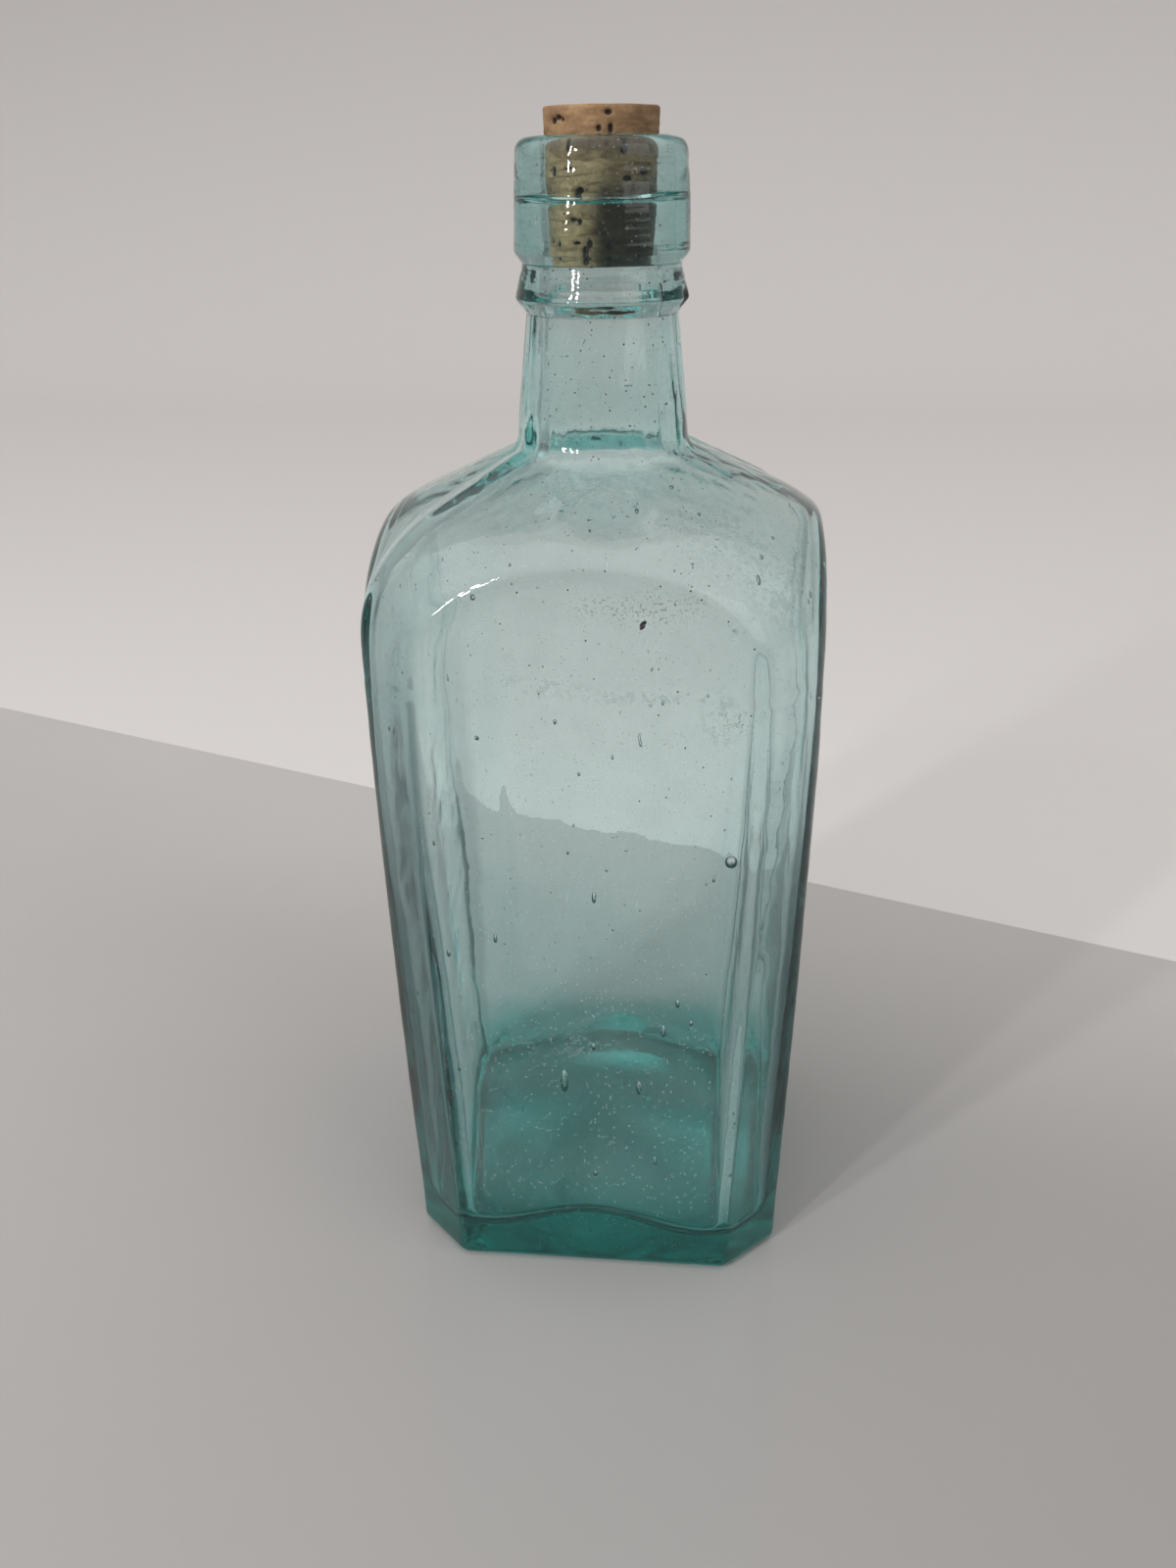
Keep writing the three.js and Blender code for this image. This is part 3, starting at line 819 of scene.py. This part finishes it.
def make_cork(material):
    rng = np.random.default_rng(SEED + 1)
    angles = np.linspace(0, 2 * math.pi, CORK_STEPS, endpoint=False)
    foot_radius = bore_radius(CORK_FOOT) - CORK_CLEARANCE
    path = rounded((
        (CORK_MIDDLE_RADIUS, CORK_FOOT, 0),
        (foot_radius, CORK_FOOT, CORK_EDGE_ROUNDING),
        (CORK_TOP_RADIUS, CORK_TOP, CORK_EDGE_ROUNDING),
        (CORK_MIDDLE_RADIUS, CORK_TOP, 0),
    ), CORK_STEP)
    # Flat walls 1 m away leave only the round wall of a section
    rows = section_rows(half=1, cut=0, round_wall=path[:, 0], sharpness=400, height=path[:, 1])
    grid = loft_grid(rows, angles)
    pits, depth = cork_pits(grid, angles, rng)
    depth += BARK_DEPTH * (1 + ripples(grid, BARK_LUMPS, 21))
    grid = grid - grid_normals(grid) * depth[..., None]
    foot_pole = (0, 0, CORK_FOOT + CORK_MIDDLE_SINK)
    top_pole = (0, 0, CORK_TOP - CORK_MIDDLE_SINK)
    points, faces = closed_grid(grid, foot_pole, top_pole)
    cork = new_object("cork", points, faces, material)
    set_attribute(cork, "pit", np.concatenate((pits.ravel(), (0, 0))))
    return cork


# Material nodes

def add(tree, kind, inputs=None, **settings):
    """A shader node with its settings, and its inputs set to values or linked to outputs"""
    made = tree.nodes.new(kind)
    for name, value in settings.items():
        setattr(made, name, value)
    for name, value in (inputs or {}).items():
        if isinstance(value, bpy.types.NodeSocket):
            tree.links.new(value, made.inputs[name])
        else:
            made.inputs[name].default_value = value
    return made


def new_material(name):
    material = bpy.data.materials.new(name)
    material.use_nodes = True
    material.node_tree.nodes.clear()
    tree = material.node_tree
    return material, tree, add(tree, "ShaderNodeOutputMaterial")


def object_place(tree):
    """Places in the object, and their x, y and z"""
    place = add(tree, "ShaderNodeTexCoord").outputs["Object"]
    return place, add(tree, "ShaderNodeSeparateXYZ", {"Vector": place}).outputs


def attribute(tree, name):
    return add(tree, "ShaderNodeAttribute", attribute_name=name).outputs["Fac"]


def math_node(tree, operation, first, second):
    return add(tree, "ShaderNodeMath", {0: first, 1: second}, operation=operation).outputs[0]


def plus(tree, first, second):
    return math_node(tree, "ADD", first, second)


def minus(tree, first, second):
    return math_node(tree, "SUBTRACT", first, second)


def times(tree, first, second):
    return math_node(tree, "MULTIPLY", first, second)


def higher(tree, first, second):
    return math_node(tree, "MAXIMUM", first, second)


def ramp(tree, value, low, high, start=0.0, end=1.0):
    """A value moved from one span to another, with soft ends"""
    made = add(tree, "ShaderNodeMapRange", {
        "Value": value, "From Min": low, "From Max": high, "To Min": start, "To Max": end},
        interpolation_type="SMOOTHSTEP")
    return made.outputs[0]


def blend(tree, share, first, second):
    """A colour between two colours"""
    return add(tree, "ShaderNodeMix", {0: share, 6: first, 7: second}, data_type="RGBA").outputs[2]


def texture(tree, place, scale, detail=3.0, distortion=0.0, stretch=(1, 1, 1)):
    """Noise about 0.5 on places in the object"""
    moved = add(tree, "ShaderNodeMapping", {"Vector": place, "Scale": stretch})
    made = add(tree, "ShaderNodeTexNoise", {
        "Vector": moved.outputs[0], "Scale": scale, "Detail": detail, "Distortion": distortion})
    return made.outputs[0]


def specks(tree, place, scale, size, kept):
    """Small dots strewn through space, of which a share is kept"""
    made = add(tree, "ShaderNodeTexVoronoi", {"Vector": place, "Scale": scale})
    dots = ramp(tree, made.outputs["Distance"], size, SPECK_CORE * size)
    shade = add(tree, "ShaderNodeSeparateColor", {"Color": made.outputs["Color"]})
    return times(tree, dots, math_node(tree, "LESS_THAN", shade.outputs[0], kept))


# Glass

def glass_deposit(tree, place):
    """Pale worm-shaped crusts on the inner wall"""
    worms = ramp(tree, texture(tree, place, scale=380, detail=4, distortion=1.6), 0.46, 0.54)
    grains = ramp(tree, texture(tree, place, scale=900, detail=2), 0.36, 0.56, 0.25, 1)
    return times(tree, times(tree, attribute(tree, "deposit"), worms), grains)


def glass_rust(tree, place):
    """Fine rusty dots on the inner wall"""
    grains = ramp(tree, texture(tree, place, scale=1900, detail=2), 0.54, 0.66)
    return times(tree, attribute(tree, "stain"), grains)


def glass_dots(tree, place, height, outside):
    """The dark stone, and specks on the outer wall, most of them on the neck"""
    stone = add(tree, "ShaderNodeMapping", {
        "Vector": place, "Location": STONE_PLACE, "Rotation": (0, STONE_LEAN, 0), "Scale": STONE_SIZE},
        vector_type="TEXTURE")
    far = add(tree, "ShaderNodeVectorMath", {0: stone.outputs[0]}, operation="LENGTH").outputs["Value"]
    dust = specks(tree, place, scale=620, size=0.14, kept=ramp(tree, height, *DUST_SPAN, 0.08, 0.85))
    grit = times(tree, specks(tree, place, scale=1300, size=0.24, kept=0.35), GRIT_SHARE)
    dust = times(tree, higher(tree, dust, grit), outside)
    return higher(tree, dust, ramp(tree, far, 1.1, 0.9))


def glass_veil(tree, place, height, inside, deposit):
    """A thin film on the inner wall up to the lip, and the deposits"""
    film = ramp(tree, texture(tree, place, scale=55, detail=4, distortion=0.6), 0.35, 0.75, 0.03, 0.13)
    film = times(tree, film, ramp(tree, height, LIP_FOOT, NECK_ROOT))
    return higher(tree, times(tree, film, inside), times(tree, deposit, DEPOSIT_COVER))


def glass_tint_and_painted_shade(tree, height, inside):
    """Tint of the surface: deep at the base, with painted shade on the heel, the side edges and the
    front-left cut corner, and painted grey shade on the dome and outside on the lip
    """
    # Painted shade: the outer heel darkens to a deeper teal
    deep = blend(tree, attribute(tree, "heel"), BASE_TINT, HEEL_PAINTED_SHADE)
    # Painted shade along the side edges, full low down and gone near the shoulder
    rim_shade = times(tree, attribute(tree, "rim_shade"), ramp(tree, height, *RIM_SPAN))
    # Painted shade on the front-left cut corner, full up to the shoulder
    cut = times(tree, attribute(tree, "cut"), ramp(tree, height, *CUT_SPAN))
    side = blend(tree, cut, blend(tree, rim_shade, PLAIN_TINT, RIM_PAINTED_SHADE), CUT_PAINTED_SHADE)
    tint = blend(tree, ramp(tree, height, *BASE_TINT_SPAN), deep, side)
    # Painted shade: a grey veil darkens the dome
    tint = blend(tree, ramp(tree, height, *DOME_SPAN, 0, DOME_SHARE), tint, DOME_PAINTED_SHADE)
    # Painted shade: the outside of the lip is greyed and darkened
    lip = minus(tree, ramp(tree, height, *LIP_SPAN, 0, LIP_SHARE), inside)
    return blend(tree, lip, tint, LIP_PAINTED_SHADE)


def glass_roughness(tree, place, height, outside, deposit):
    """Worn patches, crusts, and the scuffed underside of the push-up"""
    worn = ramp(tree, texture(tree, place, scale=38, detail=4), 0.45, 0.7, 0.008, 0.05)
    underside = minus(tree, outside, attribute(tree, "heel"))
    scuffed = times(tree, underside, ramp(tree, height, *SCUFF_SPAN, 0, SCUFF_ROUGHNESS))
    return plus(tree, plus(tree, worn, times(tree, deposit, DEPOSIT_ROUGHNESS)), scuffed)


def glass_grain(tree, place, height):
    """Fine unevenness of the skin, which turns into level tool lines on the lip"""
    on_lip = ramp(tree, height, *TOOLED_SPAN)
    skin = texture(tree, place, scale=260, detail=2, stretch=(1, 1, 0.6))
    tooled = texture(tree, place, scale=200, detail=3, distortion=0.3, stretch=(1, 1, 8))
    grain = plus(tree, times(tree, skin, minus(tree, 1.0, on_lip)), times(tree, tooled, on_lip))
    return add(tree, "ShaderNodeBump", {"Strength": 0.06, "Distance": 0.0004, "Height": grain}).outputs[0]


def glass_material():
    material, tree, output = new_material("aqua_glass")
    place, axes = object_place(tree)
    height = axes[2]
    inside = attribute(tree, "inside")
    outside = minus(tree, 1.0, inside)
    deposit = glass_deposit(tree, place)
    veil = glass_veil(tree, place, height, inside, deposit)
    rust = glass_rust(tree, place)
    dots = glass_dots(tree, place, height, outside)
    haze = blend(tree, ramp(tree, height, *HAZE_SPAN), LOW_HAZE, HAZE)
    colour = blend(tree, veil, glass_tint_and_painted_shade(tree, height, inside), haze)
    colour = blend(tree, rust, colour, RUST)
    colour = blend(tree, dots, colour, STONE_COLOUR)
    cover = higher(tree, higher(tree, veil, times(tree, rust, RUST_COVER)), dots)
    shader = add(tree, "ShaderNodeBsdfPrincipled", {
        "Base Color": colour, "IOR": GLASS_IOR, "Normal": glass_grain(tree, place, height),
        "Roughness": glass_roughness(tree, place, height, outside, deposit),
        "Transmission Weight": minus(tree, 1.0, cover)})
    absorb = add(tree, "ShaderNodeVolumeAbsorption", {"Color": GLASS_COLOUR, "Density": GLASS_DENSITY})
    tree.links.new(shader.outputs[0], output.inputs["Surface"])
    tree.links.new(absorb.outputs[0], output.inputs["Volume"])
    return material


# Cork

def cork_material():
    """Bark that is brighter and streaked inside the lip, with painted shade darkening it towards its foot and
    on the right
    """
    material, tree, output = new_material("cork_bark")
    place, axes = object_place(tree)
    grain = texture(tree, place, scale=230, detail=5, distortion=0.4, stretch=(1, 1, 2.2))
    colour = blend(tree, ramp(tree, grain, 0.30, 0.72), BARK_DARK, BARK_LIGHT)
    streaks = texture(tree, place, scale=150, detail=5, distortion=1.2, stretch=(1, 1, 4))
    covered = blend(tree, ramp(tree, streaks, 0.38, 0.60), COVERED_DARK, COVERED_LIGHT)
    colour = blend(tree, ramp(tree, axes[2], *COVERED_SPAN, 0, COVERED_SHARE), colour, covered)
    cells = ramp(tree, texture(tree, place, scale=1500), 0.3, 0.7)
    colour = blend(tree, times(tree, cells, CELL_SHARE), colour, CELL_COLOUR)
    # Painted shade: darker towards the foot and on the right, with a blotchy edge from noise
    patchy = plus(tree, texture(tree, place, scale=110), ramp(tree, axes[0], *CORK_SHADE_SIDE_SPAN, 0, 0.6))
    shaded_side = times(tree, ramp(tree, axes[2], *CORK_SHADE_SPAN, 0.25, 0.95), ramp(tree, patchy, 0.42, 0.85))
    colour = blend(tree, shaded_side, colour, CORK_PAINTED_SHADE)
    colour = blend(tree, ramp(tree, attribute(tree, "pit"), 0.25, 0.7), colour, PIT_COLOUR)
    bark = texture(tree, place, scale=700, detail=4, distortion=0.3, stretch=(1, 1, 2))
    bump = add(tree, "ShaderNodeBump", {"Strength": 0.5, "Distance": 0.0003, "Height": bark})
    shader = add(tree, "ShaderNodeBsdfPrincipled", {
        "Base Color": colour, "Roughness": CORK_ROUGHNESS, "Normal": bump.outputs[0]})
    tree.links.new(shader.outputs[0], output.inputs["Surface"])
    return material


# Stage

def stage_material():
    """A pale floor with painted shade towards the front right, and painted light rising towards a brighter
    card behind the bottle that stands in for a lamp-lit back wall
    """
    material, tree, output = new_material("pale_stage")
    place, axes = object_place(tree)
    behind = plus(tree, times(tree, axes[0], math.sin(CARD_TURN)), times(tree, axes[1], math.cos(CARD_TURN)))
    # The card stands in for the back wall, its brightness partly the wall's tone and partly painted light
    # from the lamps on it
    card = ramp(tree, behind, CARD_DISTANCE - CARD_EDGE, CARD_DISTANCE + CARD_EDGE)
    # Painted shade: the floor darkens towards the front and the right
    along = minus(tree, times(tree, axes[1], GROUND_SLOPE_BACK), times(tree, axes[0], GROUND_SLOPE_LEFT))
    ground = blend(tree, ramp(tree, along, -GROUND_REACH, GROUND_REACH), GROUND_PAINTED_SHADE, GROUND_PAINTED_LIT)
    # Painted light: the floor brightens towards the card
    glow = ramp(tree, behind, CARD_GLOW_FROM, CARD_DISTANCE, 0, CARD_GLOW_SHARE)
    ground = blend(tree, glow, ground, GROUND_PAINTED_GLOW)
    mottle = ramp(tree, texture(tree, place, scale=9, detail=4), 0.3, 0.7, 0, GROUND_MOTTLE_SHARE)
    ground = blend(tree, mottle, ground, GROUND_MOTTLE)
    shader = add(tree, "ShaderNodeBsdfPrincipled", {
        "Base Color": blend(tree, card, ground, CARD_WALL_TONE_AND_LIGHT),
        "Roughness": ramp(tree, card, 0, 1, GROUND_ROUGHNESS, CARD_ROUGHNESS),
        "Specular IOR Level": GROUND_SPECULAR})
    tree.links.new(shader.outputs[0], output.inputs["Surface"])
    return material


def make_backdrop():
    """One sheet that runs level under the bottle, bends and goes up far behind it"""
    bend_centre = (BACKDROP - BACKDROP_BEND, FLOOR_LEVEL + BACKDROP_BEND)
    bend = arc(bend_centre, BACKDROP_BEND, -90, 0, BACKDROP_STEPS)
    front = line((-STAGE_HALF, FLOOR_LEVEL), bend[0], 1)
    path = chain(front, bend, line(bend[-1], (BACKDROP, STAGE_HALF), 1))
    count = len(path)
    points = np.vstack([np.column_stack((np.full(count, side), path)) for side in (-STAGE_HALF, STAGE_HALF)])
    faces = [(low, low + count, low + count + 1, low + 1) for low in range(count - 1)]
    new_object("backdrop", points, faces, stage_material())


def make_light(name, place, aim, width, height, watts):
    data = bpy.data.lights.new(name, "AREA")
    data.shape = "RECTANGLE"
    data.size = width
    data.size_y = height
    data.energy = watts
    light = bpy.data.objects.new(name, data)
    light.location = place
    light.rotation_euler = (Vector(aim) - Vector(place)).to_track_quat("-Z", "Y").to_euler()
    light.visible_transmission = False
    bpy.context.scene.collection.objects.link(light)


def make_lights():
    across = Vector((-LAMP_PLACE.y, LAMP_PLACE.x, 0)).normalized()
    for lamp in range(LAMPS):
        column, row = lamp % 2 - 0.5, lamp // 2 - 1
        lamp_place = LAMP_PLACE + LAMP_GAP * (column * across + row * Vector((0, 0, 1)))
        make_light(f"lamp_{lamp}", lamp_place, LAMP_AIM, LAMP_SIZE, LAMP_SIZE, LAMP_WATTS)
    make_light("strip", STRIP_PLACE, STRIP_AIM, STRIP_WIDTH, STRIP_HEIGHT, STRIP_WATTS)
    make_light("fill", FILL_PLACE, FILL_AIM, FILL_SIZE, FILL_SIZE, FILL_WATTS)


def make_world():
    """A sky that is brighter overhead"""
    world = bpy.data.worlds.new("studio")
    world.use_nodes = True
    tree = world.node_tree
    background = tree.nodes["Background"]
    background.inputs["Color"].default_value = SKY_COLOUR
    direction = add(tree, "ShaderNodeTexCoord").outputs["Generated"]
    upward = add(tree, "ShaderNodeSeparateXYZ", {"Vector": direction}).outputs[2]
    tree.links.new(ramp(tree, upward, 0, SKY_HIGH_FROM, SKY_LOW, SKY_HIGH), background.inputs["Strength"])
    bpy.context.scene.world = world


def make_camera():
    """The photograph's view, from above and a little to the right of the front face"""
    data = bpy.data.cameras.new("camera")
    data.sensor_width = SENSOR_MILLIMETRES
    data.lens = SENSOR_MILLIMETRES * FOCAL_PIXELS / FRAME_PIXELS
    data.clip_start = CLIP_START
    camera = bpy.data.objects.new("camera", data)
    turn = Euler((math.pi / 2 - CAMERA_DOWN, 0, CAMERA_TURN)).to_matrix()
    camera.matrix_world = (turn @ Matrix.Rotation(CAMERA_ROLL, 3, "Z")).to_4x4()
    camera.location = CAMERA_PLACE
    bpy.context.scene.collection.objects.link(camera)
    bpy.context.scene.camera = camera


glass = make_glass(glass_material())
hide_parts("glass_body", "applied_lip")
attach(glass, "bottle")

cork = make_cork(cork_material())
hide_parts("cork_stopper")
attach(cork, "cork")

make_backdrop()
make_world()
make_lights()
make_camera()
scene = bpy.context.scene
scene.view_settings.view_transform = "Standard"
scene.cycles.max_bounces = GLASS_BOUNCES
scene.cycles.transmission_bounces = GLASS_BOUNCES
scene.cycles.glossy_bounces = GLOSSY_BOUNCES
